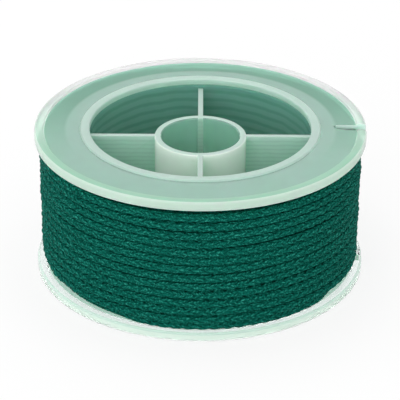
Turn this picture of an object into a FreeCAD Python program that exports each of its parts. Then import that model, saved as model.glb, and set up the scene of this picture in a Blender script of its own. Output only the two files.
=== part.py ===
import FreeCAD, Part
import math
import os
import Sketcher

# A moulded plastic spool, wound full with one braided cord.
# Millimetres. The spool's axis is +Z, and the origin is the centre of the face that it stands on.
# The thread slits lie on the +X side.

doc = FreeCAD.newDocument("spool")

# Driving dimensions

DIMENSIONS = [
    ("flange_radius", 36.0, "outer radius of both flanges"),
    ("spool_height", 33.0, "over both flanges"),
    ("rim_width", 2.2, "radial width of the bead round a flange"),
    ("rim_depth", 2.1, "thickness of that bead"),
    ("rim_round", 0.45, "rounding of its two outer edges"),
    ("rim_slope", 0.3, "run of its sloped inner sides"),
    ("plate_recess", 0.4, "the flange plate lies this far under the bead's outer face"),
    ("plate_thick", 1.0, "flange plate"),
    ("drum_bore_radius", 24.0, "open inside of the drum"),
    ("drum_wall", 1.8, "drum wall"),
    ("root_round", 1.0, "rounding where the drum meets the plate"),
    ("hub_bore_radius", 8.5, "spindle hole"),
    ("hub_wall", 1.45, "hub wall"),
    ("hub_recess", 2.3, "hub and rib ends lie this far inside the flange's outer face"),
    ("edge_round", 0.3, "rounding of the mouths of drum and hub"),
    ("rib_thick", 1.2, "rib thickness at its outer end"),
    ("rib_draft", 0.4, "mould draft of the ribs, in degrees"),
    ("rib_gap", 0.1, "between the ribs of the two halves"),
    ("rib_count", 4, "ribs in each half"),
    ("lap_depth", 3.0, "height of the spigots past the parting plane"),
    ("drum_lap", 0.85, "thickness of the drum spigot"),
    ("hub_lap", 0.65, "thickness of the hub spigot"),
    ("lap_clear", 0.05, "radial clearance of the spigots in their sockets"),
    ("lap_end_gap", 0.2, "between a spigot's end and the floor of its socket"),
    ("lap_root", 0.6, "the spigot's overlap with its own wall"),
    ("lead_in", 0.25, "chamfer of a spigot's tip"),
    ("snap_height", 1.6, "height of the snap ridge above the parting plane"),
    ("snap_half", 0.6, "half the height of the snap ridge"),
    ("snap_groove_half", 0.65, "half the height of the groove that takes it"),
    ("snap_round", 1.3, "radius of the ridge's and the groove's section"),
    ("slit_width", 1.6, "thread slit at its round inner end"),
    ("slit_mouth", 2.82, "the same at the rim, before the rounding of its mouth"),
    ("slit_start", 29.7, "from the spool's axis to the centre of the slit's round inner end, along X"),
    ("slit_offset", 0.5, "the same, across, away from the side that the slit leans to"),
    ("slit_tilt", 6.0, "angle between the slit's middle line and the X axis, in degrees"),
    ("slit_mouth_round", 0.6, "rounding of the slit's mouth"),
    ("slit_past_rim", 1.6, "the slit's cut runs this far past the rim"),
    ("slit_reach", 0.1, "extra length of its straight sides, because the slit is tilted"),
    ("cut_over", 0.5, "the slit's cut runs this far past the flange's thickness"),
    ("cord_diameter", 2.0, "braided cord"),
    ("layer_radius", 34.1, "from the axis to the cord's centre in the outer layer"),
    ("shoulder_drop", 1.0, "the end turns lie this much deeper, inside the rim beads"),
    ("turn_count", 14.75, "turns in the outer layer"),
    ("first_angle", 45.0, "where the outer layer starts, in degrees from +X; it runs clockwise, seen from above"),
    ("turn_gap", 0.44, "gap between neighbouring turns of the outer layer's solid"),
    ("climb_after", 0.7, "turns that stay on the shoulder before the layer climbs"),
    ("climb_turns", 0.6, "turns in which it climbs"),
    ("core_clear", 0.1, "the wound core stands this far off what it touches"),
    ("shoulder_low", 3.2, "height of the core's shoulder above the plate, at its foot"),
    ("shoulder_high", 4.8, "the same, at its top"),
    ("tuck_bend", 2.0, "radius of the bend with which an end of the outer layer dives"),
]

sheet = doc.addObject("Spreadsheet::Sheet", "Dimensions")
for row, (alias, number, meaning) in enumerate(DIMENSIONS, start=1):
    sheet.set(f"A{row}", alias)
    sheet.set(f"B{row}", str(number))
    sheet.set(f"C{row}", meaning)
    sheet.setAlias(f"B{row}", alias)
doc.recompute()


class Size:
    """A length with the spreadsheet expression that drives it."""

    def __init__(self, value, text):
        self.value = value
        self.text = text

    def __add__(self, other):
        other = as_size(other)
        return Size(self.value + other.value, f"({self.text} + {other.text})")

    def __sub__(self, other):
        other = as_size(other)
        return Size(self.value - other.value, f"({self.text} - {other.text})")

    def __mul__(self, factor):
        return Size(self.value * factor, f"({self.text} * {factor})")

    def __truediv__(self, other):
        return Size(self.value / other.value, f"({self.text} / {other.text})")

    def __neg__(self):
        return Size(-self.value, f"(0 - {self.text})")


def as_size(number):
    return number if isinstance(number, Size) else Size(number, str(number))


def size(alias):
    return Size(float(getattr(sheet, alias)), f"Dimensions.{alias}")


def drive(item, prop, driver):
    """Bind a property of a feature to the sheet."""
    item.setExpression(prop, driver.text)


# Heights and radii that several pieces share

middle = size("spool_height") * 0.5
plate_inner = size("plate_recess") + size("plate_thick")
drum_bore = size("drum_bore_radius")
drum_outer = drum_bore + size("drum_wall")
hub_bore = size("hub_bore_radius")
hub_outer = hub_bore + size("hub_wall")
rim_inner = size("flange_radius") - size("rim_width")


# Sketches

def place_sketch(body, name, role):
    """A new sketch on one of the body's own origin planes."""
    plane = next(o for o in body.Origin.OriginFeatures if o.Role == role)
    sketch = body.newObject("Sketcher::SketchObject", name)
    sketch.AttachmentSupport = (plane, "")
    sketch.MapMode = "FlatFace"
    return sketch


def pin_corner(sketch, geo, end, x, y):
    """Hold one end of a line or an arc at a place that the sheet drives."""
    for kind, place, axis in (("DistanceX", x, -2), ("DistanceY", y, -1)):
        if abs(place.value) < 1e-9:
            sketch.addConstraint(Sketcher.Constraint("PointOnObject", geo, end, axis))
        else:
            number = sketch.addConstraint(Sketcher.Constraint(kind, -1, 1, geo, end, place.value))
            sketch.setExpression(f"Constraints[{number}]", place.text)


def arc_through(start, end, radius, left):
    """The arc of this radius from start to end that turns left, or right, by under a half turn."""
    chord = end - start
    half = chord.Length / 2
    across = FreeCAD.Vector(-chord.y, chord.x, 0).normalize()
    off = math.sqrt(max(radius * radius - half * half, 0))
    side = 1 if left else -1
    centre = (start + end) * 0.5 + across * (off * side)
    crown = centre - across * (radius * side)
    return Part.Arc(start, crown, end)


def draw_outline(sketch, corners):
    """Close an outline. A corner is (x, y), or (x, y, radius, turn) where an arc leads to it."""
    points = [FreeCAD.Vector(c[0].value, c[1].value, 0) for c in corners]
    pieces = []
    for i, corner in enumerate(corners):
        start, end = points[i - 1], points[i]
        if len(corner) == 2:
            geo = sketch.addGeometry(Part.LineSegment(start, end), False)
            pieces.append((geo, 1, 2))
            continue
        left = corner[3] == "left"
        geo = sketch.addGeometry(arc_through(start, end, corner[2].value, left), False)
        # a sketch keeps each arc counter-clockwise, so a right turn runs from its end to its start
        pieces.append((geo, 1, 2) if left else (geo, 2, 1))
    for i, corner in enumerate(corners):
        geo, start_end, far_end = pieces[i]
        last_geo, _, last_far = pieces[i - 1]
        sketch.addConstraint(Sketcher.Constraint("Coincident", last_geo, last_far, geo, start_end))
        pin_corner(sketch, geo, far_end, as_size(corner[0]), as_size(corner[1]))
        if len(corner) == 4 and corner[2].value > half_chord(points[i - 1], points[i]) + 1e-6:
            number = sketch.addConstraint(Sketcher.Constraint("Radius", geo, corner[2].value))
            sketch.setExpression(f"Constraints[{number}]", corner[2].text)


def half_chord(start, end):
    return (end - start).Length / 2


def turn_profile(body, kind, name, corners_list):
    """A revolved ring, added or cut, from outlines in the XZ plane."""
    sketch = place_sketch(body, name + "_profile", "XZ_Plane")
    for corners in corners_list:
        draw_outline(sketch, corners)
    feature = body.newObject(kind, name)
    feature.Profile = sketch
    feature.ReferenceAxis = (sketch, ["V_Axis"])
    feature.Angle = 360.0
    body.Tip = feature
    doc.recompute()
    return feature


# The two mouldings

def flange_and_drum_outline():
    """Half section of one flange and its half of the drum, from the flange's outer face upwards."""
    edge, rim, slope = size("edge_round"), size("rim_round"), size("rim_slope")
    radius, depth = size("flange_radius"), size("rim_depth")
    face, root = as_size(0.0), size("root_round")
    return [
        (drum_bore + edge, face, edge, "left"),
        (drum_outer, face),
        (drum_outer + slope, size("plate_recess")),
        (rim_inner, size("plate_recess")),
        (rim_inner + slope, face),
        (radius - rim, face),
        (radius, rim, rim, "left"),
        (radius, depth - rim),
        (radius - rim, depth, rim, "left"),
        (rim_inner + slope, depth),
        (rim_inner, plate_inner),
        (drum_outer + root, plate_inner),
        (drum_outer, plate_inner + root, root, "right"),
        (drum_outer, middle),
        (drum_bore, middle),
        (drum_bore, edge),
    ]


def hub_outline():
    """Half section of one half of the hub, rounded at the mouth of its bore."""
    edge, end = size("edge_round"), size("hub_recess")
    return [
        (hub_bore + edge, end, edge, "left"),
        (hub_outer, end),
        (hub_outer, middle),
        (hub_bore, middle),
        (hub_bore, end + edge),
    ]


def add_ribs(body):
    """Thin walls from the hub to the drum, drafted so that they leave the mould."""
    half_thick = size("rib_thick") * 0.5
    inner = hub_bore + size("hub_wall") * 0.5
    outer = drum_bore + size("drum_wall") * 0.5
    sketch = place_sketch(body, "rib_outline", "XY_Plane")
    drive(sketch, "AttachmentOffset.Base.z", size("hub_recess"))
    draw_outline(sketch, [(inner, -half_thick), (outer, -half_thick), (outer, half_thick), (inner, half_thick)])
    rib = body.newObject("PartDesign::Pad", "rib")
    rib.Profile = sketch
    drive(rib, "Length", middle - size("hub_recess") - size("rib_gap") * 0.5)
    drive(rib, "TaperAngle", size("rib_draft"))
    body.Tip = rib
    doc.recompute()
    ring = body.newObject("PartDesign::PolarPattern", "ribs")
    ring.Originals = [rib]
    ring.Axis = (sketch, ["N_Axis"])
    ring.Angle = 360.0
    drive(ring, "Occurrences", size("rib_count"))
    body.Tip = ring
    doc.recompute()


def cut_slit(body, side):
    """The wedge-shaped slit that catches the cord's end: a round inner end, and a rounded mouth at the rim."""
    half = size("slit_width") * 0.5
    lip = size("slit_mouth") * 0.5
    flare = size("slit_mouth_round")
    mouth = size("flange_radius") - size("slit_start") - flare + size("slit_reach")
    wide = lip + flare
    outside = mouth + size("slit_past_rim")
    sketch = place_sketch(body, "slit_outline", "XY_Plane")
    sketch.AttachmentOffset = FreeCAD.Placement(
        FreeCAD.Vector(size("slit_start").value, -side * size("slit_offset").value, 0),
        FreeCAD.Rotation(FreeCAD.Vector(0, 0, side), size("slit_tilt").value),
    )
    drive(sketch, "AttachmentOffset.Base.x", size("slit_start"))
    drive(sketch, "AttachmentOffset.Base.y", size("slit_offset") * -side)
    drive(sketch, "AttachmentOffset.Rotation.Angle", size("slit_tilt"))
    draw_outline(sketch, [
        (as_size(0.0), -half, half, "left"),
        (mouth, -lip),
        (mouth + flare, -wide, flare, "right"),
        (outside, -wide),
        (outside, wide),
        (mouth + flare, wide),
        (mouth, lip, flare, "right"),
        (as_size(0.0), half),
    ])
    before = body.Shape.Volume
    slit = body.newObject("PartDesign::Pocket", "slit")
    slit.Profile = sketch
    drive(slit, "Length", size("rim_depth") + size("cut_over"))
    slit.Reversed = True
    body.Tip = slit
    doc.recompute()
    print(f"{body.Label}: the slit takes away {before - body.Shape.Volume:.1f} mm3")


def add_spigots(body):
    """Rings inside the drum wall and the hub wall that stand up past the parting plane."""
    low, high = middle - size("lap_root"), middle + size("lap_depth")
    ridge, half = middle + size("snap_height"), size("snap_half")
    lead = size("lead_in")
    drum_face = drum_bore + size("drum_lap")
    hub_face = hub_bore + size("hub_lap")
    drum_spigot = [
        (drum_bore, low),
        (drum_face, low),
        (drum_face, ridge - half),
        (drum_face, ridge + half, size("snap_round"), "left"),
        (drum_face, high - lead),
        (drum_face - lead, high),
        (drum_bore, high),
    ]
    hub_spigot = [
        (hub_bore, low),
        (hub_face, low),
        (hub_face, high - lead),
        (hub_face - lead, high),
        (hub_bore, high),
    ]
    turn_profile(body, "PartDesign::Revolution", "drum_spigot", [drum_spigot])
    turn_profile(body, "PartDesign::Revolution", "hub_spigot", [hub_spigot])


def cut_sockets(body):
    """Rebates in the drum wall and the hub wall that take the other half's spigots."""
    low, high = middle - size("lap_depth") - size("lap_end_gap"), middle + size("lap_root")
    groove, half = middle - size("snap_height"), size("snap_groove_half")
    clear = size("lap_clear")
    drum_face = drum_bore + size("drum_lap") + clear
    hub_face = hub_bore + size("hub_lap") + clear
    drum_socket = [
        (drum_bore - clear, low),
        (drum_face, low),
        (drum_face, groove - half),
        (drum_face, groove + half, size("snap_round"), "left"),
        (drum_face, high),
        (drum_bore - clear, high),
    ]
    hub_socket = [
        (hub_bore - clear, low),
        (hub_face, low),
        (hub_face, high),
        (hub_bore - clear, high),
    ]
    before = body.Shape.Volume
    turn_profile(body, "PartDesign::Groove", "drum_socket", [drum_socket])
    turn_profile(body, "PartDesign::Groove", "hub_socket", [hub_socket])
    print(f"{body.Label}: the sockets take away {before - body.Shape.Volume:.1f} mm3")


def moulding(name, side):
    """One half of the spool, standing on its flange. The slit's outer end leans towards side."""
    body = doc.addObject("PartDesign::Body", name)
    body.Label = name
    turn_profile(body, "PartDesign::Revolution", "flange_and_drum", [flange_and_drum_outline()])
    turn_profile(body, "PartDesign::Revolution", "hub", [hub_outline()])
    add_ribs(body)
    cut_slit(body, side)
    return body


lower_half = moulding("lower_half", -1)
add_spigots(lower_half)

upper_half = moulding("upper_half", 1)
cut_sockets(upper_half)
upper_half.Placement = FreeCAD.Placement(
    FreeCAD.Vector(0, 0, size("spool_height").value),
    FreeCAD.Rotation(FreeCAD.Vector(1, 0, 0), 180),
)
drive(upper_half, "Placement.Base.z", size("spool_height"))


# The cord's outer layer: one tube, wound from the lower flange to the upper one

turns = size("turn_count").value
first_height = plate_inner + size("cord_diameter") * 0.5
pitch = (size("spool_height") - first_height * 2) / size("turn_count")
tube_radius = (pitch - size("turn_gap")) * 0.5


def smooth_step(t):
    t = min(max(t, 0.0), 1.0)
    return t * t * (3 - 2 * t)


def layer_point(turn):
    """The cord's centre after this many turns, counted from the lower flange."""
    low, climb = size("climb_after").value, size("climb_turns").value
    rise = smooth_step((turn - low) / climb) * smooth_step((turns - low - turn) / climb)
    radius = size("layer_radius").value - size("shoulder_drop").value * (1 - rise)
    angle = math.radians(size("first_angle").value) - 2 * math.pi * turn
    height = first_height.value + pitch.value * turn
    return FreeCAD.Vector(radius * math.cos(angle), radius * math.sin(angle), height)


def layer_direction(turn):
    step = 1e-4
    return (layer_point(turn + step) - layer_point(turn - step)).normalize()


def biarc(start, start_way, end, end_way):
    """Two arcs in space that leave start and reach end in the given directions."""
    gap = end - start
    ways = start_way + end_way
    spread = 4 - ways.dot(ways)
    along = gap.dot(ways)
    reach = (math.sqrt(along * along + spread * gap.dot(gap)) - along) / spread
    first_corner = start + start_way * reach
    last_corner = end - end_way * reach
    joint = (first_corner + last_corner) * 0.5
    return [arc_in_corner(start, first_corner, joint), arc_in_corner(joint, last_corner, end)]


def arc_in_corner(start, corner, end):
    """The arc that is tangent to both legs of a corner with legs of one length."""
    middle_point = (start + end) * 0.5
    half = (end - start).Length / 2
    depth = (corner - middle_point).Length
    sagitta = half * math.tan(math.atan2(depth, half) / 2)
    crown = middle_point + (corner - middle_point).normalize() * sagitta
    return Part.Arc(start, crown, end)


def tuck(turn, way):
    """An end of the layer, which bends in towards the axis and runs straight into the layers below."""
    bend = size("tuck_bend").value
    point = layer_point(turn)
    direction = layer_direction(turn) * way
    inward = FreeCAD.Vector(-point.x, -point.y, 0).normalize()
    inward = (inward - direction * inward.dot(direction)).normalize()
    corner = point + direction * bend
    turned = corner + inward * bend
    tip = turned + inward * (2 * tube_radius.value)
    return arc_in_corner(point, corner, turned), Part.LineSegment(turned, tip)


def layer_edges():
    """The whole route: a tuck, the turns as quarter-turn biarcs, and another tuck."""
    quarters = round(4 * turns)
    stops = [turns * i / quarters for i in range(quarters + 1)]
    route = []
    for a, b in zip(stops, stops[1:]):
        route += biarc(layer_point(a), layer_direction(a), layer_point(b), layer_direction(b))
    first = tuck(0.0, -1)
    last = tuck(turns, 1)
    return [first[1], first[0]] + route + [last[0], last[1]]


def tube_along(curves, radius):
    """A round tube along curves that follow on from each other."""
    wire = Part.Wire(Part.__sortEdges__([curve.toShape() for curve in curves]))
    start = wire.OrderedVertexes[0].Point
    edge = wire.OrderedEdges[0]
    way = edge.tangentAt(edge.FirstParameter)
    section = Part.Wire(Part.Circle(start, way, radius).toShape())
    return wire.makePipeShell([section], True, False), wire


route = layer_edges()
tube, centre_line = tube_along(route, tube_radius.value)
cord_outer_layer = doc.addObject("Part::Feature", "cord_outer_layer")
cord_outer_layer.Shape = tube
cord_outer_layer.Label = "cord_outer_layer"
cord_outer_layer.Placement = FreeCAD.Placement()


def least_gap(wire, diameter):
    """The least distance between stretches of the tube that are not neighbours, less its diameter."""
    spacing = 0.8
    points = []
    for edge in wire.OrderedEdges:
        points += edge.discretize(max(2, int(edge.Length / spacing)))[:-1]
    along = [0.0]
    for a, b in zip(points, points[1:]):
        along.append(along[-1] + (b - a).Length)
    least = wire.Length
    for i, a in enumerate(points):
        for j in range(i + 1, len(points)):
            if along[j] - along[i] < 4 * diameter:
                continue
            b = points[j]
            if abs(a.z - b.z) < 2 * diameter and abs(a.x - b.x) < 2 * diameter:
                least = min(least, (a - b).Length)
    return least - diameter


tube_diameter = 2 * tube_radius.value
section_area = math.pi * tube_radius.value ** 2
print(f"outer layer: pitch {pitch.value:.3f}, tube diameter {tube_diameter:.3f}, length {centre_line.Length:.0f}")
print(f"outer layer: least gap to itself {least_gap(centre_line, tube_diameter):.3f}")
print(f"outer layer: volume {tube.Volume:.0f}, section times length {section_area * centre_line.Length:.0f}")


# The layers below, as one plain wound core with a pocket for each end of the outer layer

def core_outline():
    """Half section of the inner layers, between the flange plates and round the drum."""
    clear = size("core_clear")
    inner = drum_outer + clear
    corner = size("root_round")
    low = plate_inner + clear
    high = size("spool_height") - low
    full = size("layer_radius") - tube_radius - clear
    small = full - size("shoulder_drop")
    foot, top = size("shoulder_low"), size("shoulder_high")
    return [
        (inner + corner, low),
        (small, low),
        (small, low + foot),
        (full, low + top),
        (full, high - top),
        (small, high - foot),
        (small, high),
        (inner + corner, high),
        (inner, high - corner),
        (inner, low + corner),
    ]


core = doc.addObject("PartDesign::Body", "wound_core")
turn_profile(core, "PartDesign::Revolution", "inner_layers", [core_outline()])

pockets = []
for number, (turn, way) in enumerate(((0.0, -1), (turns, 1)), start=1):
    bend, run = tuck(turn, way)
    pocket = doc.addObject("Part::Feature", f"tuck_pocket_{number}")
    pocket.Shape = tube_along([bend, run], tube_radius.value + size("core_clear").value)[0]
    pockets.append(pocket)

both_pockets = doc.addObject("Part::MultiFuse", "tuck_pockets")
both_pockets.Shapes = pockets
cord_inner_layers = doc.addObject("Part::Cut", "cord_inner_layers")
cord_inner_layers.Base = core
cord_inner_layers.Tool = both_pockets
cord_inner_layers.Label = "cord_inner_layers"
doc.recompute()


# Checks, then one file for each sub-part

NODES = [lower_half, upper_half, cord_inner_layers, cord_outer_layer]

failed = [o.Name for o in doc.Objects if {"Invalid", "Error"} & set(o.State)]
if failed:
    raise RuntimeError(f"failed features: {failed}")
for node in NODES:
    if node.Shape.isNull() or not node.Shape.isValid():
        raise RuntimeError(f"{node.Label} has no valid shape")

os.makedirs("parts", exist_ok=True)
for node in NODES:
    box = node.Shape.BoundBox
    print(
        f"{node.Label}: {len(node.Shape.Solids)} solid, {node.Shape.Volume:.0f} mm3, "
        f"x {box.XMin:.2f} to {box.XMax:.2f}, z {box.ZMin:.2f} to {box.ZMax:.2f}"
    )
    node.Shape.exportStep(f"parts/{node.Label}.step")
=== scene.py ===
"""A plastic spool wound full with one braided cord: the pieces that show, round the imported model."""
import math

import bmesh
import bpy
import numpy as np
from mathutils import Matrix, Vector


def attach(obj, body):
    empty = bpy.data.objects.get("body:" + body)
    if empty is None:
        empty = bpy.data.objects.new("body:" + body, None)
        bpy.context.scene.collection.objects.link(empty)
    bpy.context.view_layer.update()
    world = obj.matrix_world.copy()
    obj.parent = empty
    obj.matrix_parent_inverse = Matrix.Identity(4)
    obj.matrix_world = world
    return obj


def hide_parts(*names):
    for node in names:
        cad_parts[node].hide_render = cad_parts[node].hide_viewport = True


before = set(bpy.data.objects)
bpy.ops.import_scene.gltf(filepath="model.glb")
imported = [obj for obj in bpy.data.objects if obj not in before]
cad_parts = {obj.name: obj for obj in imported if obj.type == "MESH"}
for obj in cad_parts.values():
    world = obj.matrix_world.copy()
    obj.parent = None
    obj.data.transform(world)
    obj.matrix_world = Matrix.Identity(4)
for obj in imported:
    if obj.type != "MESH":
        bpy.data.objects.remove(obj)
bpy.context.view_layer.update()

# Milky plastic of both mouldings: unpigmented polypropylene, which lets light through and scatters part of
# it. The lower rim and the drum's wall are the clearest, plates and upper rim are cloudier, and moulded ends
# and cut walls look white. The lower rim's whiter, clearer copies and the ends' and cut walls' cloudier ones
# are painted light: lit from the white table below, and where the ends catch the light. The skin is satin,
# with a fine grain and faint flow marks.
FULL_BEND = 1.49
RIM_BEND = 1.12


def colour_ramp(tree, value, stops):
    """Turns a value into a colour. The stops give the colour at each place."""
    scale = tree.nodes.new("ShaderNodeValToRGB")
    elements = scale.color_ramp.elements
    places = sorted(stops)
    elements[0].position = places[0]
    elements[1].position = places[-1]
    for place in places[1:-1]:
        elements.new(place)
    for element, place in zip(elements, places):
        element.color = (*stops[place], 1.0)
    tree.links.new(value, scale.inputs["Fac"])
    return scale.outputs["Color"]


def plastic(name, colour, clearness, low_gloss, high_gloss, bend=FULL_BEND):
    """The plastic as it looks at one kind of wall. A low bend lets light straight through a thick edge."""
    finish = bpy.data.materials.new(name)
    finish.use_nodes = True
    nodes, links = finish.node_tree.nodes, finish.node_tree.links
    skin = nodes["Principled BSDF"]
    skin.inputs["IOR"].default_value = bend
    skin.inputs["Transmission Weight"].default_value = clearness
    skin.inputs["Subsurface Weight"].default_value = 1.0
    skin.inputs["Subsurface Radius"].default_value = (0.0024, 0.0028, 0.0025)
    skin.inputs["Subsurface Scale"].default_value = 1.0
    place = nodes.new("ShaderNodeTexCoord")
    flow = nodes.new("ShaderNodeTexNoise")
    flow.inputs["Scale"].default_value = 140.0
    flow.inputs["Detail"].default_value = 3.0
    links.new(place.outputs["Object"], flow.inputs["Vector"])
    shades = {0.3: [0.955 * c for c in colour], 0.7: colour}
    links.new(colour_ramp(finish.node_tree, flow.outputs["Fac"], shades), skin.inputs["Base Color"])
    gloss = nodes.new("ShaderNodeMapRange")
    gloss.inputs["From Min"].default_value = 0.3
    gloss.inputs["From Max"].default_value = 0.7
    gloss.inputs["To Min"].default_value = low_gloss
    gloss.inputs["To Max"].default_value = high_gloss
    links.new(flow.outputs["Fac"], gloss.inputs["Value"])
    links.new(gloss.outputs["Result"], skin.inputs["Roughness"])
    grain = nodes.new("ShaderNodeTexNoise")
    grain.inputs["Scale"].default_value = 1500.0
    grain.inputs["Detail"].default_value = 2.0
    links.new(place.outputs["Object"], grain.inputs["Vector"])
    relief = nodes.new("ShaderNodeBump")
    relief.inputs["Strength"].default_value = 0.2
    relief.inputs["Distance"].default_value = 0.00003
    links.new(grain.outputs["Fac"], relief.inputs["Height"])
    links.new(relief.outputs["Normal"], skin.inputs["Normal"])
    return finish


def tint(tree, blend, factor, colour):
    """Mixes a colour over the plastic's own. Factor and colour are values or sockets."""
    base = tree.nodes["Principled BSDF"].inputs["Base Color"]
    mix = tree.nodes.new("ShaderNodeMix")
    mix.data_type = "RGBA"
    mix.blend_type = blend
    tree.links.new(base.links[0].from_socket, mix.inputs["A"])
    for name, value in (("Factor", factor), ("B", colour)):
        if isinstance(value, bpy.types.NodeSocket):
            tree.links.new(value, mix.inputs[name])
        else:
            mix.inputs[name].default_value = value
    tree.links.new(mix.outputs["Result"], base)


def eased(tree, value, low, high, top=1.0):
    """Goes smoothly from 0 to top while the value goes from low to high."""
    ease = tree.nodes.new("ShaderNodeMapRange")
    ease.interpolation_type = "SMOOTHSTEP"
    ease.inputs["From Min"].default_value = low
    ease.inputs["From Max"].default_value = high
    ease.inputs["To Max"].default_value = top
    tree.links.new(value, ease.inputs["Value"])
    return ease.outputs["Result"]


def place_on_piece(tree):
    """The place on the piece, in the spool's own frame."""
    return tree.nodes.new("ShaderNodeTexCoord").outputs["Object"]


def way_back(tree, place):
    """How far back a place lies."""
    parts = tree.nodes.new("ShaderNodeSeparateXYZ")
    tree.links.new(place, parts.inputs["Vector"])
    return parts.outputs["Y"]


def painted_plate_light_and_shade(tree):
    """Whiter near the drum, painted light, and darker towards the back near the rim, painted shade."""
    place = place_on_piece(tree)
    flat = tree.nodes.new("ShaderNodeVectorMath")
    flat.operation = "MULTIPLY"
    flat.inputs[1].default_value = (1.0, 1.0, 0.0)
    tree.links.new(place, flat.inputs[0])
    reach = tree.nodes.new("ShaderNodeVectorMath")
    reach.operation = "LENGTH"
    tree.links.new(flat.outputs["Vector"], reach.inputs[0])
    root = tree.nodes.new("ShaderNodeMapRange")
    root.inputs["From Min"].default_value = 0.026
    root.inputs["From Max"].default_value = 0.030
    tree.links.new(reach.outputs["Value"], root.inputs["Value"])
    # Painted light: a touch whiter near the drum than out towards the rim.
    painted_light_near_drum = {0.0: (0.60, 0.94, 0.78), 0.3: (0.58, 0.96, 0.77), 1.0: (0.56, 0.96, 0.76)}
    tint(tree, "MULTIPLY", 1.0, colour_ramp(tree, root.outputs["Result"], painted_light_near_drum))
    # Painted shade: darker towards the back, near the rim.
    painted_back_shade = tree.nodes.new("ShaderNodeMath")
    painted_back_shade.operation = "MULTIPLY"
    tree.links.new(eased(tree, way_back(tree, place), -0.018, 0.02), painted_back_shade.inputs[0])
    tree.links.new(eased(tree, reach.outputs["Value"], 0.0288, 0.0298, top=0.85), painted_back_shade.inputs[1])
    tint(tree, "MULTIPLY", painted_back_shade.outputs["Value"], (0.40, 0.62, 0.57, 1.0))


def row_shade_and_tool_marks(tree, scale, darkest):
    """Soft, slightly uneven darker bands: painted shade between the turns behind the drum's wall, and the
    mould's tool marks on a rib.
    """
    bands = tree.nodes.new("ShaderNodeTexWave")
    bands.wave_type = "BANDS"
    bands.bands_direction = "Z"
    bands.wave_profile = "SIN"
    bands.inputs["Scale"].default_value = scale
    bands.inputs["Distortion"].default_value = 1.6
    bands.inputs["Detail"].default_value = 2.0
    bands.inputs["Detail Scale"].default_value = 1.2
    tree.links.new(place_on_piece(tree), bands.inputs["Vector"])
    tint(tree, "MULTIPLY", 1.0, colour_ramp(tree, bands.outputs["Fac"], {0.1: darkest, 0.6: (1.0, 1.0, 1.0)}))


def painted_light_at_back(tree):
    """At the back, where the rim stands free, its colour is mixed towards white: painted light. In front it
    lies over the green cord.
    """
    free = eased(tree, way_back(tree, place_on_piece(tree)), -0.02, 0.03)
    tint(tree, "MIX", free, (1.0, 1.0, 1.0, 1.0))


# The plate's tints by radius and towards the back are painted light and painted shade.
plate_plastic = plastic("flange_plate", (1.0, 1.0, 1.0), 0.62, 0.05, 0.1)
painted_plate_light_and_shade(plate_plastic.node_tree)
# Painted light: the rims' colour is mixed towards white at the back.
bead_plastic = plastic("clear_bead", (0.52, 0.83, 0.65), 0.5, 0.05, 0.1, RIM_BEND)
painted_light_at_back(bead_plastic.node_tree)
side_plastic = plastic("rim_side", (0.74, 0.98, 0.80), 0.38, 0.1, 0.16, RIM_BEND)
painted_light_at_back(side_plastic.node_tree)
# Painted light: a clearer, whiter copy for the lower moulding's faces towards the table.
lit_foot_plastic = plastic("clear_foot_painted_light", (0.92, 1.0, 0.96), 0.94, 0.15, 0.22, RIM_BEND)
drum_plastic = plastic("drum_wall", (0.50, 1.0, 0.84), 0.74, 0.03, 0.06)
# Painted shade: darker bands for the gaps between the turns seen through the drum's wall.
row_shade_and_tool_marks(drum_plastic.node_tree, 157.0, (0.74, 0.80, 0.78))
rib_plastic = plastic("ribs", (0.66, 0.98, 0.80), 0.42, 0.08, 0.14)
row_shade_and_tool_marks(rib_plastic.node_tree, 330.0, (0.87, 0.90, 0.89))
hub_plastic = plastic("hub_wall", (0.78, 1.0, 0.81), 0.06, 0.14, 0.22)
bore_plastic = plastic("hub_bore", (0.55, 0.97, 0.80), 0.75, 0.04, 0.08)
end_plastic = plastic("moulded_ends", (0.59, 0.79, 0.70), 0.35, 0.3, 0.4)
# Painted light and shade: a whiter copy for the lower rim's ledge, and a darker one for its side's upper
# band.
lit_ledge_plastic = plastic("lower_ledge_painted_light", (0.93, 1.0, 0.99), 0.95, 0.15, 0.22, RIM_BEND)
shaded_edge_plastic = plastic("lower_side_painted_shade", (0.60, 0.84, 0.71), 0.38, 0.1, 0.16, RIM_BEND)
painted_light_at_back(shaded_edge_plastic.node_tree)
cut_and_glow_plastic = plastic("slit_walls_and_painted_glow", (0.66, 1.0, 0.80), 0.1, 0.2, 0.3)
finishes = [
    plate_plastic, bead_plastic, drum_plastic, rib_plastic, end_plastic, side_plastic,
    hub_plastic, bore_plastic, cut_and_glow_plastic, lit_foot_plastic, lit_ledge_plastic, shaded_edge_plastic,
]
PLATE, BEAD, DRUM, RIB, END, SIDE, HUB, BORE, CUT_AND_GLOW, LIT_FOOT, LIT_LEDGE, SHADED_EDGE = range(len(finishes))


# The lower moulding: a thin flange plate with a thick bead round it, the lower part of the drum, four ribs
# and the lower part of the hub, moulded in one piece. Its drum and hub end in thin spigots, the drum's with a
# snap ridge, and a slit through the rim holds the end of the cord.
MM = 0.001
HEIGHT = 33.0
RIM = 35.995
BEAD_INSIDE = 34.1
BEAD_TOP = 2.1
PLATE_UNDERSIDE = 0.4
PLATE_FACE = 1.4
DRUM_OUTSIDE = 25.8
DRUM_INSIDE = 24.0
HUB_OUTSIDE = 9.95
BORE_RADIUS = 8.5
HUB_RECESS = 2.3
JOINT = HEIGHT / 2
SPIGOT_END = 19.5
AROUND_STEPS = 180


def as_object(name, shape):
    """Puts a finished shape into the scene as a piece of that name."""
    mesh = bpy.data.meshes.new(name)
    shape.to_mesh(mesh)
    shape.free()
    piece = bpy.data.objects.new(name, mesh)
    bpy.context.scene.collection.objects.link(piece)
    return piece


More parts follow.
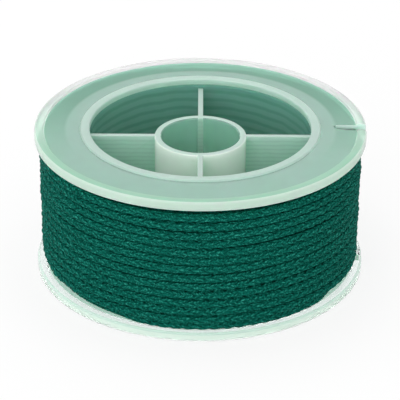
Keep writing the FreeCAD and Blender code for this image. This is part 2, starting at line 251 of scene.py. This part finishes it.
def turned(name, corners, rounds):
    """Spins a section round the axis. The corners are (radius, height), and rounds gives their radii."""
    shape = bmesh.new()
    verts = [shape.verts.new((r * MM, 0.0, z * MM)) for r, z in corners]
    shape.faces.new(verts)
    for corner, (radius, segments) in rounds.items():
        bmesh.ops.bevel(
            shape, geom=[verts[corners.index(corner)]], affect="VERTICES", offset=radius * MM,
            offset_type="OFFSET", segments=segments, profile=0.5, material=-1, clamp_overlap=True,
        )
    bmesh.ops.delete(shape, geom=shape.faces[:], context="FACES_ONLY")
    bmesh.ops.spin(
        shape, geom=shape.verts[:] + shape.edges[:], cent=(0, 0, 0), axis=(0, 0, 1),
        angle=2 * math.pi, steps=AROUND_STEPS, use_merge=True,
    )
    bmesh.ops.remove_doubles(shape, verts=shape.verts[:], dist=1e-6)
    bmesh.ops.recalc_face_normals(shape, faces=shape.faces[:])
    return as_object(name, shape)


def ribs(name):
    """Four radial ribs between hub and drum, a little thicker towards the joint, for the mould's draft."""
    reach = (9.225, 24.9)
    half_thickness = (0.6, 0.699)
    ends = (HUB_RECESS, 16.45)
    edge_round = 0.18
    shape = bmesh.new()
    for quarter in range(4):
        rib = bmesh.ops.create_cube(shape, size=1.0)["verts"]
        for vert in rib:
            half = half_thickness[vert.co.z > 0]
            vert.co.x = reach[vert.co.x > 0]
            vert.co.y = half if vert.co.y > 0 else -half
            vert.co.z = ends[vert.co.z > 0]
            vert.co *= MM
        turn = Matrix.Rotation(quarter * math.pi / 2, 3, "Z")
        bmesh.ops.rotate(shape, verts=rib, cent=(0, 0, 0), matrix=turn)
    level = [e for e in shape.edges if abs(e.verts[0].co.z - e.verts[1].co.z) < 1e-6]
    bmesh.ops.bevel(
        shape, geom=[e for e in level if e.calc_length() > 10 * MM], affect="EDGES", offset=edge_round * MM,
        offset_type="OFFSET", segments=3, profile=0.5, material=-1,
    )
    return as_object(name, shape)


def slit_cutter(name, lean):
    """The gap of the slit: a narrow wedge with a round inner end and with rounded lips at the rim."""
    start_round = 0.795
    lip_round = 0.598
    rounds = {0: start_round, 7: start_round, 1: lip_round, 6: lip_round}
    side = [(-0.8, 0.8), (6.4, 1.46), (6.4, 2.06), (9.4, 2.06)]
    under_the_rim = -0.5
    depth = 3.1
    from_axis = 29.7
    shape = bmesh.new()
    outline = [(x, -y) for x, y in side] + side[::-1]
    verts = [shape.verts.new((x * MM, y * MM, under_the_rim * MM)) for x, y in outline]
    shape.faces.new(verts)
    for corner, radius in rounds.items():
        bmesh.ops.bevel(
            shape, geom=[verts[corner]], affect="VERTICES", offset=radius * MM,
            offset_type="OFFSET", segments=8, profile=0.5, material=-1,
        )
    raised = bmesh.ops.extrude_face_region(shape, geom=shape.faces[:])["geom"]
    top = [v for v in raised if isinstance(v, bmesh.types.BMVert)]
    bmesh.ops.translate(shape, verts=top, vec=(0, 0, depth * MM))
    bmesh.ops.recalc_face_normals(shape, faces=shape.faces[:])
    turn = Matrix.Rotation(math.radians(lean), 4, "Z")
    place = Matrix.Translation((from_axis * MM, lean * MM / -12, 0))
    bmesh.ops.transform(shape, verts=shape.verts[:], matrix=place @ turn)
    return as_object(name, shape)


def wall_finishes(mesh, turn_over):
    """Which finish each face of a moulding takes, by its radius, its height and the way it looks."""
    count = len(mesh.polygons)
    centre = np.empty(count * 3)
    normal = np.empty(count * 3)
    mesh.polygons.foreach_get("center", centre)
    mesh.polygons.foreach_get("normal", normal)
    centre = centre.reshape(count, 3) / MM
    normal = normal.reshape(count, 3)
    radius = np.hypot(centre[:, 0], centre[:, 1])
    height = centre[:, 2]
    facing = np.abs((centre[:, :2] * normal[:, :2]).sum(axis=1)) / radius
    beside_rib = np.abs(centre[:, :2]).min(axis=1) < 0.62

    def zone(inside=0.0, outside=99.0, low=-99.0, high=99.0):
        """The faces between two radii and two heights, in millimetres."""
        return (radius > inside) & (radius < outside) & (height > low) & (height < high)

    wall = np.full(count, RIB)
    wall[zone(9.5, 10.05, low=2.0)] = HUB
    wall[zone(outside=8.9)] = BORE
    # Painted light: bore faces in front of each rib take the ribs' cloudier finish, a lighter band where the
    # rib stands behind the wall.
    wall[zone(outside=8.9) & beside_rib] = RIB
    wall[zone(26.1, 33.7, high=1.6)] = PLATE
    wall[zone(33.6, high=2.3)] = BEAD
    wall[zone(35.7, high=2.3)] = SIDE
    wall[zone(23.9, 26.0, low=1.0) | zone(23.9, 24.1)] = DRUM
    wall[zone(outside=26.0, high=2.35) & (normal[:, 2] < -0.8)] = END
    wall[zone(23.9, 24.5, high=1.2)] = END
    wall[zone(25.7, 26.1, high=0.5)] = END
    wall[zone(25.8, 26.85, 1.3, 2.45)] = END
    wall[zone(28.0) & (np.abs(normal[:, 2]) < 0.1) & (facing < 0.5)] = CUT_AND_GLOW
    if turn_over:
        # Painted light: the upper rim's lower edge takes the cloudy cut-wall finish, to look lit by the white
        # table below.
        wall[zone(35.6, low=1.72)] = CUT_AND_GLOW
    else:
        # Painted light and shade: faces towards the table take a clearer, whiter copy. The ledge under the
        # winding takes a whiter one that lifts it out of the winding's shadow, and the rim's side above 1.3
        # mm takes a darker one, so that the band below looks lit from the table.
        wall[zone(26.1, high=0.45)] = LIT_FOOT
        wall[zone(33.6, 35.7, high=2.0)] = LIT_FOOT
        wall[zone(33.6, 35.5, low=1.3) & (normal[:, 2] > 0.5)] = LIT_LEDGE
        wall[zone(35.5, low=1.3)] = SHADED_EDGE
    return wall


def moulded(name, flange, hub, lean, turn_over):
    """Joins flange, ribs and hub, cuts the slit, and gives each wall its look."""
    tools = [
        (ribs("ribs_" + name), "UNION"),
        (hub, "UNION"),
        (slit_cutter("slit_" + name, lean), "DIFFERENCE"),
    ]
    for tool, operation in tools:
        step = flange.modifiers.new(operation.lower(), "BOOLEAN")
        step.object = tool
        step.operation = operation
        step.solver = "EXACT"
    finished = flange.evaluated_get(bpy.context.evaluated_depsgraph_get())
    mesh = bpy.data.meshes.new_from_object(finished)
    for used_up in [tool for tool, operation in tools] + [flange]:
        bpy.data.objects.remove(used_up)
    mesh.name = name
    mesh.materials.clear()
    for finish in finishes:
        mesh.materials.append(finish)
    mesh.polygons.foreach_set("material_index", wall_finishes(mesh, turn_over).astype(np.int32))
    if turn_over:
        mesh.transform(Matrix.Translation((0, 0, HEIGHT * MM)) @ Matrix.Rotation(math.pi, 4, "X"))
    mesh.shade_smooth()
    mesh.set_sharp_from_angle(angle=math.radians(32))
    piece = bpy.data.objects.new(name, mesh)
    bpy.context.scene.collection.objects.link(piece)
    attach(piece, "root")
    return piece


rim_and_plate = [
    (DRUM_INSIDE, 1.3), (DRUM_INSIDE, 0.0), (DRUM_OUTSIDE, 0.0),
    (26.1, PLATE_UNDERSIDE), (33.8, PLATE_UNDERSIDE), (BEAD_INSIDE, 0.0),
    (RIM, 0.0), (RIM, BEAD_TOP), (BEAD_INSIDE, BEAD_TOP),
    (33.8, PLATE_FACE), (DRUM_OUTSIDE, PLATE_FACE),
]
rim_rounds = {
    (RIM, 0.0): (0.45, 5),
    (RIM, BEAD_TOP): (0.45, 5),
    (DRUM_INSIDE, 0.0): (0.3, 4),
    (DRUM_OUTSIDE, PLATE_FACE): (1.0, 6),
}
hub_rounds = {(BORE_RADIUS, HUB_RECESS): (0.3, 4), (HUB_OUTSIDE, HUB_RECESS): (0.2, 3)}
lower_spigot = [
    (DRUM_OUTSIDE, JOINT), (24.85, JOINT), (24.85, 17.5), (24.997, 18.1), (24.85, 18.7), (24.85, 19.25),
    (24.6, SPIGOT_END), (DRUM_INSIDE, SPIGOT_END),
]
lower_hub_section = [
    (BORE_RADIUS, HUB_RECESS), (HUB_OUTSIDE, HUB_RECESS), (HUB_OUTSIDE, JOINT), (9.15, JOINT), (9.15, 19.25),
    (8.9, SPIGOT_END), (BORE_RADIUS, SPIGOT_END),
]
lower_flange = turned("lower_flange", rim_and_plate + lower_spigot, rim_rounds)
lower_hub = turned("lower_hub", lower_hub_section, hub_rounds)
lower_half = moulded("lower_moulding", lower_flange, lower_hub, -6.0, False)
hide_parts("lower_half")


# The upper moulding: the same flange, drum, ribs and hub, with sockets that take the lower one's spigots. It
# is pushed on from above until the two drum edges meet under the winding, with its slit over the lower one's.
SOCKET_FLOOR = 13.3
upper_socket = [
    (DRUM_OUTSIDE, JOINT), (24.9, JOINT), (24.9, 15.55), (25.047, 14.9), (24.9, 14.25), (24.9, SOCKET_FLOOR),
    (DRUM_INSIDE, SOCKET_FLOOR),
]
upper_hub_section = [
    (BORE_RADIUS, HUB_RECESS), (HUB_OUTSIDE, HUB_RECESS), (HUB_OUTSIDE, JOINT), (9.2, JOINT),
    (9.2, SOCKET_FLOOR), (BORE_RADIUS, SOCKET_FLOOR),
]
upper_flange = turned("upper_flange", rim_and_plate + upper_socket, rim_rounds)
upper_hub = turned("upper_hub", upper_hub_section, hub_rounds)
upper_half = moulded("upper_moulding", upper_flange, upper_hub, 6.0, True)
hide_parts("upper_half")


# The cord: eight strands of dark green nylon, braided over and under each other to 2 mm, dull with a soft
# sheen. A strand goes round once in 10.8 mm, and is two yarns side by side, of fine straight filaments. The
# pattern reads the piece's own map, which counts strands along and round the cord. Its colour is darker down
# between the strands and between the yarns, painted shade, and lighter on the strands' crowns, painted
# highlight. The fibres' light and dark strokes are random tone and painted highlights.
LAY = 10.8
STRANDS = 8
STRAND_ROUND = 0.35
WEAVE = 0.18
FIBRE_SLANT = 1.05
FIBRES_ACROSS = 2.5
FIBRES_ALONG = 0.8
OTHER_HAND = 7.0
YARN_RELIEF = 0.09
FIBRE_RELIEF = 0.16
YARN_PAINTED_SHADE = 0.12
FIBRE_TONE_AND_HIGHLIGHT = 1.9
braid = bpy.data.materials.new("braided_cord")
braid.use_nodes = True
nodes, links = braid.node_tree.nodes, braid.node_tree.links
cord_skin = nodes["Principled BSDF"]


def sum_up(operation, first, second=None, third=None):
    """One calculation on the cord's map."""
    node = nodes.new("ShaderNodeMath")
    node.operation = operation
    for socket, value in zip(node.inputs, (first, second, third)):
        if isinstance(value, (int, float)):
            socket.default_value = value
        elif value is not None:
            links.new(value, socket)
    return node.outputs["Value"]


strand_map = nodes.new("ShaderNodeUVMap")
strand_map.uv_map = "strands"
split = nodes.new("ShaderNodeSeparateXYZ")
links.new(strand_map.outputs["UV"], split.inputs["Vector"])
along = split.outputs["X"]
round_it = split.outputs["Y"]
right_way = sum_up("SUBTRACT", round_it, along)
left_way = sum_up("ADD", round_it, along)
right_across = sum_up("WRAP", right_way, 1.0, -1.0)
left_across = sum_up("WRAP", left_way, 1.0, -1.0)
weave = sum_up("MULTIPLY", sum_up("COSINE", sum_up("MULTIPLY", round_it, math.pi)), WEAVE)


def strand_height(across):
    """The round top of a strand, from the place across it."""
    squared = sum_up("MULTIPLY", across, across)
    return sum_up("MULTIPLY", sum_up("SQRT", sum_up("SUBTRACT", 1.0, squared)), STRAND_ROUND)


right_height = sum_up("ADD", strand_height(right_across), weave)
left_height = sum_up("SUBTRACT", strand_height(left_across), weave)
right_on_top = sum_up("GREATER_THAN", right_height, left_height)
top_height = sum_up("MAXIMUM", right_height, left_height)


def of_top_strand(if_right, if_left):
    """Takes the one value or the other, by which strand lies on top."""
    return sum_up("ADD", if_left, sum_up("MULTIPLY", right_on_top, sum_up("SUBTRACT", if_right, if_left)))


across = of_top_strand(right_across, left_across)
lengthwise = of_top_strand(left_way, right_way)
slant = sum_up("MULTIPLY", along, FIBRE_SLANT)
fibre_across = of_top_strand(
    sum_up("SUBTRACT", right_across, slant),
    sum_up("ADD", left_across, slant),
)
fibre_place = nodes.new("ShaderNodeCombineXYZ")
links.new(sum_up("MULTIPLY", fibre_across, FIBRES_ACROSS), fibre_place.inputs["X"])
links.new(sum_up("MULTIPLY", lengthwise, FIBRES_ALONG), fibre_place.inputs["Y"])
links.new(sum_up("MULTIPLY", right_on_top, OTHER_HAND), fibre_place.inputs["Z"])
fibres = nodes.new("ShaderNodeTexNoise")
fibres.inputs["Scale"].default_value = 1.0
fibres.inputs["Detail"].default_value = 2.0
links.new(fibre_place.outputs["Vector"], fibres.inputs["Vector"])
yarns = sum_up("MULTIPLY", sum_up("COSINE", sum_up("MULTIPLY", across, 2 * math.pi)), -0.5)
relief = sum_up(
    "ADD",
    sum_up("MULTIPLY", yarns, YARN_RELIEF),
    sum_up("MULTIPLY", fibres.outputs["Fac"], FIBRE_RELIEF),
)
cord_bump = nodes.new("ShaderNodeBump")
cord_bump.inputs["Strength"].default_value = 0.8
cord_bump.inputs["Distance"].default_value = MM
links.new(relief, cord_bump.inputs["Height"])
links.new(cord_bump.outputs["Normal"], cord_skin.inputs["Normal"])

# Painted shade and painted highlight: the green runs from near black in the grooves to a light green on the
# crowns.
greens_shade_to_highlight = {0.0: (0.0004, 0.024, 0.018), 0.5: (0.0022, 0.128, 0.092), 1.0: (0.045, 0.40, 0.31)}
painted_crown_light = nodes.new("ShaderNodeMapRange")
painted_crown_light.inputs["From Min"].default_value = 0.1
painted_crown_light.inputs["From Max"].default_value = 0.6
painted_crown_light.inputs["To Min"].default_value = 0.05
painted_crown_light.inputs["To Max"].default_value = 0.6
links.new(top_height, painted_crown_light.inputs["Value"])
strokes = sum_up("MULTIPLY", sum_up("SUBTRACT", fibres.outputs["Fac"], 0.5), FIBRE_TONE_AND_HIGHLIGHT)
strokes_and_yarns = sum_up("ADD", strokes, sum_up("MULTIPLY", yarns, YARN_PAINTED_SHADE))
painted_shade_place = sum_up("ADD", painted_crown_light.outputs["Result"], strokes_and_yarns)
links.new(colour_ramp(braid.node_tree, painted_shade_place, greens_shade_to_highlight), cord_skin.inputs["Base Color"])
cord_skin.inputs["Roughness"].default_value = 0.62
cord_skin.inputs["Specular IOR Level"].default_value = 0.02


def map_strands(mesh, along_mm, angle):
    """Writes the cord's map from the way along it and the angle round it, at each corner of each face."""
    start = np.empty(len(mesh.polygons), dtype=np.int64)
    sides = np.empty(len(mesh.polygons), dtype=np.int64)
    mesh.polygons.foreach_get("loop_start", start)
    mesh.polygons.foreach_get("loop_total", sides)
    first = np.repeat(angle[start], sides)
    angle = first + (angle - first + math.pi) % (2 * math.pi) - math.pi
    spread = np.stack([STRANDS * along_mm / LAY, STRANDS * angle / (2 * math.pi)], axis=1)
    mesh.uv_layers.new(name="strands").data.foreach_set("uv", spread.astype(np.float32).ravel())


# The winding underneath: about four layers of the same cord between the drum and the outer layer, laid row
# beside row. Only its green shows, through the plastic, so it is one ring with a shallow groove at each turn.
POINTS_A_TURN = 8
TURN_ROUND = 6.3
MEAN_RADIUS = 30.0


def scallops(first, last, count, depth, outward):
    """Points of a row of shallow turns from first to last."""
    points = []
    for turn in range(count):
        for part in range(POINTS_A_TURN):
            place_on = (turn + part / POINTS_A_TURN) / count
            bulge = depth * math.sin(math.pi * part / POINTS_A_TURN)
            points.append((
                first[0] + (last[0] - first[0]) * place_on + outward[0] * bulge,
                first[1] + (last[1] - first[1]) * place_on + outward[1] * bulge,
            ))
    return points + [last]


on_drum = scallops((26.25, 2.7), (26.25, 30.3), 14, 0.35, (-1, 0))
under_top_plate = scallops((27.0, 31.3), (31.0, 31.3), 2, 0.18, (0, 1))
behind_outer_layer = [(31.2, 30.6), (32.9, 29.4), (33.0, 27.0), (33.0, 6.0), (32.9, 4.8), (31.0, 3.6)]
on_lower_plate = scallops((31.0, 1.7), (27.0, 1.7), 2, 0.18, (0, -1))
inner_section = on_drum + under_top_plate + behind_outer_layer + on_lower_plate
inner_layers = turned("winding_inside", inner_section, {})
inner_layers.data.shade_smooth()
inner_layers.data.set_sharp_from_angle(angle=math.radians(60))
inner_layers.data.materials.append(braid)
corner_vert = np.empty(len(inner_layers.data.loops), dtype=np.int64)
inner_layers.data.loops.foreach_get("vertex_index", corner_vert)
spots = np.empty(len(inner_layers.data.vertices) * 3)
inner_layers.data.vertices.foreach_get("co", spots)
spots = spots.reshape(-1, 3)[corner_vert] / MM
turn_angle = np.arctan2(spots[:, 1], spots[:, 0])
face_first = np.repeat(turn_angle.reshape(-1, 4)[:, 0], 4)
turn_angle = face_first + (turn_angle - face_first + math.pi) % (2 * math.pi) - math.pi
map_strands(inner_layers.data, turn_angle * MEAN_RADIUS, spots[:, 2] * 2 * math.pi / TURN_ROUND)
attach(inner_layers, "root")
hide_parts("cord_inner_layers")


# The outer layer: the cord's last fifteen rows, pressed side by side round the spool. The first and last rows
# sink in beside the flanges, and both ends are pushed under the winding at the back.
ROWS = 15
ROW_PITCH = 2.013
FIRST_ROW = 2.407
FIRST_TURN = 0.375
FIRST_END = -0.2
LAST_END = 14.95
CORD_STEP = 0.3
ROUND_STEPS = 24
LOWEST = PLATE_FACE + 1.03
HALF_CLIMB = ROW_PITCH / 2
OUTER_RADIUS = 34.12
TOP_ROW_RADIUS = 33.1
SINK_A_ROW = 0.022
UNEVEN_RADIUS = 0.07
UNEVEN_LEVEL = 0.06
PLATE_HARDNESS = 9
END_DEPTH = 3.0
TURN_OF_END = 0.2
STRAND_BASE = 0.49
row_level = {
    -180: -HALF_CLIMB, -120: -0.5, -70: -0.22, -32: -0.09, 0: 0.2, 33: -0.12, 70: 0.22, 120: 0.5,
    180: HALF_CLIMB,
}
bottom_row_radius = {
    -180: 33.3, -90: 33.3, -72: 32.9, -60: 32.1, -35: 32.1, -15: 33.3, 45: 33.3, 60: 32.2, 90: 32.2,
    120: 32.8, 180: 33.3,
}


def smoothed(table, degrees):
    """A smooth curve through a table's points."""
    knots = np.array(sorted(table))
    values = np.array([table[k] for k in knots])
    index = np.clip(np.searchsorted(knots, degrees, side="right") - 1, 0, len(knots) - 2)
    part = (degrees - knots[index]) / (knots[index + 1] - knots[index])
    part = part * part * (3 - 2 * part)
    return values[index] + (values[index + 1] - values[index]) * part


def cord_line(turn):
    """The cord's centre line, in millimetres, from its number of turns."""
    from_front = 360 * (FIRST_TURN - turn)
    degrees = (from_front + 180) % 360 - 180
    row = turn - FIRST_TURN
    nearest_row = np.round((from_front - degrees) / -360)
    calm = 0.35 + 0.65 * np.clip(np.minimum(nearest_row, ROWS - 1 - nearest_row) / 3, 0, 1)
    even_level = HALF_CLIMB * np.sign(degrees) * (np.abs(degrees) / 180) ** 3
    level = smoothed(row_level, degrees) * calm + (1 - calm) * even_level
    z = FIRST_ROW + ROW_PITCH * nearest_row - level
    wander = np.sin(2 * math.pi * (1.37 * turn + 0.1)) + 0.8 * np.sin(2 * math.pi * (2.83 * turn + 0.4))
    z = z + UNEVEN_LEVEL * wander * calm
    highest = HEIGHT - LOWEST
    z = LOWEST + np.log1p(np.exp((z - LOWEST) * PLATE_HARDNESS)) / PLATE_HARDNESS
    z = highest - np.log1p(np.exp((highest - z) * PLATE_HARDNESS)) / PLATE_HARDNESS
    sink = np.sin(2 * math.pi * (1.61 * turn + 0.3)) + 0.8 * np.sin(2 * math.pi * (3.19 * turn + 0.8))
    radius = OUTER_RADIUS - SINK_A_ROW * (ROWS - 1 - row) + UNEVEN_RADIUS * sink
    bottom = smoothed(bottom_row_radius, degrees)
    in_first_row = np.clip((1.0 - np.abs(row)) * 2.2 - 0.6, 0, 1) * (row < 1)
    radius = radius + (bottom - radius) * in_first_row
    in_last_row = np.clip((row - (ROWS - 2)) * 2.2 - 0.6, 0, 1)
    radius = radius + (TOP_ROW_RADIUS - radius) * in_last_row
    first_dive = np.clip(1 - (turn - FIRST_END) / TURN_OF_END, 0, 1) ** 1.5
    last_dive = np.clip(1 - (LAST_END - turn) / TURN_OF_END, 0, 1) ** 1.5
    radius = radius - END_DEPTH * (first_dive + last_dive)
    angle = np.radians(degrees - 90)
    return np.stack([radius * np.cos(angle), radius * np.sin(angle), z], axis=1)


whole_turns = np.linspace(FIRST_END, LAST_END, 20001)
whole_line = cord_line(whole_turns)
run = np.concatenate([[0.0], np.cumsum(np.linalg.norm(np.diff(whole_line, axis=0), axis=1))])


def braided_length(name, start, end):
    """One stretch of the outer layer, as a closed tube with the strands raised on it."""
    rings = int((end - start) / CORD_STEP)
    distance = np.linspace(start, end, rings)
    middle_line = cord_line(np.interp(distance, run, whole_turns))
    route = bpy.data.curves.new(name, "CURVE")
    route.dimensions = "3D"
    route.twist_mode = "Z_UP"
    route.bevel_depth = MM
    route.bevel_resolution = ROUND_STEPS // 2 - 2
    spline = route.splines.new("POLY")
    spline.points.add(rings - 1)
    spline.points.foreach_set("co", np.hstack([middle_line * MM, np.ones((rings, 1))]).ravel())
    carrier = bpy.data.objects.new(name, route)
    bpy.context.scene.collection.objects.link(carrier)
    finished = carrier.evaluated_get(bpy.context.evaluated_depsgraph_get())
    mesh = bpy.data.meshes.new_from_object(finished)
    bpy.data.objects.remove(carrier)
    spots = np.empty(len(mesh.vertices) * 3)
    mesh.vertices.foreach_get("co", spots)
    spots = spots.reshape(rings, ROUND_STEPS, 3) / MM
    offset = spots - middle_line[:, None, :]
    offset /= np.linalg.norm(offset, axis=2, keepdims=True)
    outward = middle_line * (1, 1, 0)
    outward /= np.linalg.norm(outward, axis=1, keepdims=True)
    angle = np.arctan2(offset[:, :, 2], (offset * outward[:, None, :]).sum(axis=2))
    slow_twist = distance[:, None] / 95 + 0.5 * np.sin(distance[:, None] / 61)
    turned_angle = angle - slow_twist
    strands_along = STRANDS * distance[:, None] / LAY
    strands_round = STRANDS * turned_angle / (2 * math.pi)
    across_right = (strands_round - strands_along + 1) % 2 - 1
    across_left = (strands_round + strands_along + 1) % 2 - 1
    woven = WEAVE * np.cos(math.pi * strands_round)
    raised = np.maximum(
        STRAND_ROUND * np.sqrt(1 - across_right ** 2) + woven,
        STRAND_ROUND * np.sqrt(1 - across_left ** 2) - woven,
    )
    spots = middle_line[:, None, :] + offset * (STRAND_BASE + raised)[:, :, None]
    mesh.vertices.foreach_set("co", (spots * MM).ravel())
    corner = np.empty(len(mesh.loops), dtype=np.int64)
    mesh.loops.foreach_get("vertex_index", corner)
    while mesh.uv_layers:
        mesh.uv_layers.remove(mesh.uv_layers[0])
    map_strands(mesh, np.repeat(distance, ROUND_STEPS)[corner], turned_angle.ravel()[corner])
    shape = bmesh.new()
    shape.from_mesh(mesh)
    bmesh.ops.holes_fill(shape, edges=[e for e in shape.edges if e.is_boundary], sides=0)
    bmesh.ops.recalc_face_normals(shape, faces=shape.faces[:])
    shape.to_mesh(mesh)
    shape.free()
    mesh.shade_smooth()
    mesh.materials.clear()
    mesh.materials.append(braid)
    piece = bpy.data.objects.new(name, mesh)
    bpy.context.scene.collection.objects.link(piece)
    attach(piece, "root")
    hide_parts("cord_outer_layer")


at_back = [FIRST_END, 4.875, 9.875, LAST_END]
for part in range(3):
    start, end = np.interp(at_back[part:part + 2], whole_turns, run)
    braided_length("winding_rows_" + str(part + 1), start, end)


# The table: a plain white sheet that goes on past the picture. It shows white to the camera and in
# reflections, and keeps the spool's soft shadow.
SHEET_GLOW = 0.8
WHITE = (1.0, 1.0, 1.0, 1.0)


def rays_that_see(tree):
    """1 for rays from the camera, from a reflection or through the plastic, and 0 for the rest."""
    ray = tree.nodes.new("ShaderNodeLightPath")
    total = ray.outputs["Is Camera Ray"]
    for kind in ("Is Glossy Ray", "Is Transmission Ray"):
        either = tree.nodes.new("ShaderNodeMath")
        either.operation = "MAXIMUM"
        tree.links.new(total, either.inputs[0])
        tree.links.new(ray.outputs[kind], either.inputs[1])
        total = either.outputs["Value"]
    return total


def chosen_shader(tree, factor, unseen, seen, output):
    """Gives the output a mix of two shaders."""
    mix = tree.nodes.new("ShaderNodeMixShader")
    tree.links.new(factor, mix.inputs["Fac"])
    tree.links.new(unseen, mix.inputs[1])
    tree.links.new(seen, mix.inputs[2])
    tree.links.new(mix.outputs["Shader"], tree.nodes.new(output).inputs["Surface"])


sheet = bmesh.new()
bmesh.ops.create_grid(sheet, x_segments=1, y_segments=1, size=3.0)
table = as_object("table", sheet)
paper = bpy.data.materials.new("white_table")
paper.use_nodes = True
tree = paper.node_tree
tree.nodes.clear()
matt = tree.nodes.new("ShaderNodeBsdfDiffuse")
matt.inputs["Color"].default_value = (0.86, 0.86, 0.86, 1.0)
bright = tree.nodes.new("ShaderNodeEmission")
bright.inputs["Color"].default_value = WHITE
bright.inputs["Strength"].default_value = 1.0
mostly = tree.nodes.new("ShaderNodeMath")
mostly.operation = "MULTIPLY"
mostly.inputs[1].default_value = SHEET_GLOW
tree.links.new(rays_that_see(tree), mostly.inputs[0])
chosen_shader(
    tree, mostly.outputs["Value"], matt.outputs["BSDF"], bright.outputs["Emission"],
    "ShaderNodeOutputMaterial",
)
table.data.materials.append(paper)


# The light: a bright room on all sides, one large soft lamp above, and one like it in front and to the left,
# which fills in the cord's shadows.
room = bpy.data.worlds.new("room")
bpy.context.scene.world = room
room.use_nodes = True
tree = room.node_tree
tree.nodes.clear()
walls = tree.nodes.new("ShaderNodeBackground")
walls.inputs["Color"].default_value = WHITE
walls.inputs["Strength"].default_value = 0.8
backdrop = tree.nodes.new("ShaderNodeBackground")
backdrop.inputs["Color"].default_value = WHITE
backdrop.inputs["Strength"].default_value = 1.0
chosen_shader(
    tree, rays_that_see(tree), walls.outputs["Background"], backdrop.outputs["Background"],
    "ShaderNodeOutputWorld",
)


def soft_lamp(name, where, towards, size, power):
    """A square lamp with a diffusing cloth."""
    lamp = bpy.data.lights.new(name, "AREA")
    lamp.size = size
    lamp.energy = power
    holder = bpy.data.objects.new(name, lamp)
    aim = (Vector(towards) - Vector(where)).to_track_quat("-Z", "Y")
    holder.matrix_world = Matrix.Translation(where) @ aim.to_matrix().to_4x4()
    bpy.context.scene.collection.objects.link(holder)


soft_lamp("lamp_above", (-0.1, 0.15, 0.8), (0, 0, 0.02), 0.7, 2.5)
soft_lamp("lamp_in_front", (-0.35, -0.8, 0.45), (0, 0, 0.015), 0.6, 2.5)


# The camera: well back with a long lens, 27.5 degrees above the table, aimed a hair below the spool's middle
# and turned a little about its own axis, as the photo's is.
DISTANCE = 0.50983
ELEVATION = 0.480213
AIM_OFF = math.radians(0.1709)
ROLL = math.radians(0.36)
camera = bpy.data.cameras.new("camera")
camera.sensor_fit = "HORIZONTAL"
camera.sensor_width = 36.0
camera.lens = 208.68
camera.clip_start = 0.01
camera.clip_end = 20.0
stand = bpy.data.objects.new("camera", camera)
look_at = Vector((0, 0, HEIGHT * MM / 2))
stand.matrix_world = (
    Matrix.Translation(look_at + DISTANCE * Vector((0, -math.cos(ELEVATION), math.sin(ELEVATION))))
    @ Matrix.Rotation(math.pi / 2 - ELEVATION - AIM_OFF, 4, "X")
    @ Matrix.Rotation(ROLL, 4, "Z")
)
bpy.context.scene.collection.objects.link(stand)
bpy.context.scene.camera = stand
bpy.context.scene.view_settings.view_transform = "Standard"
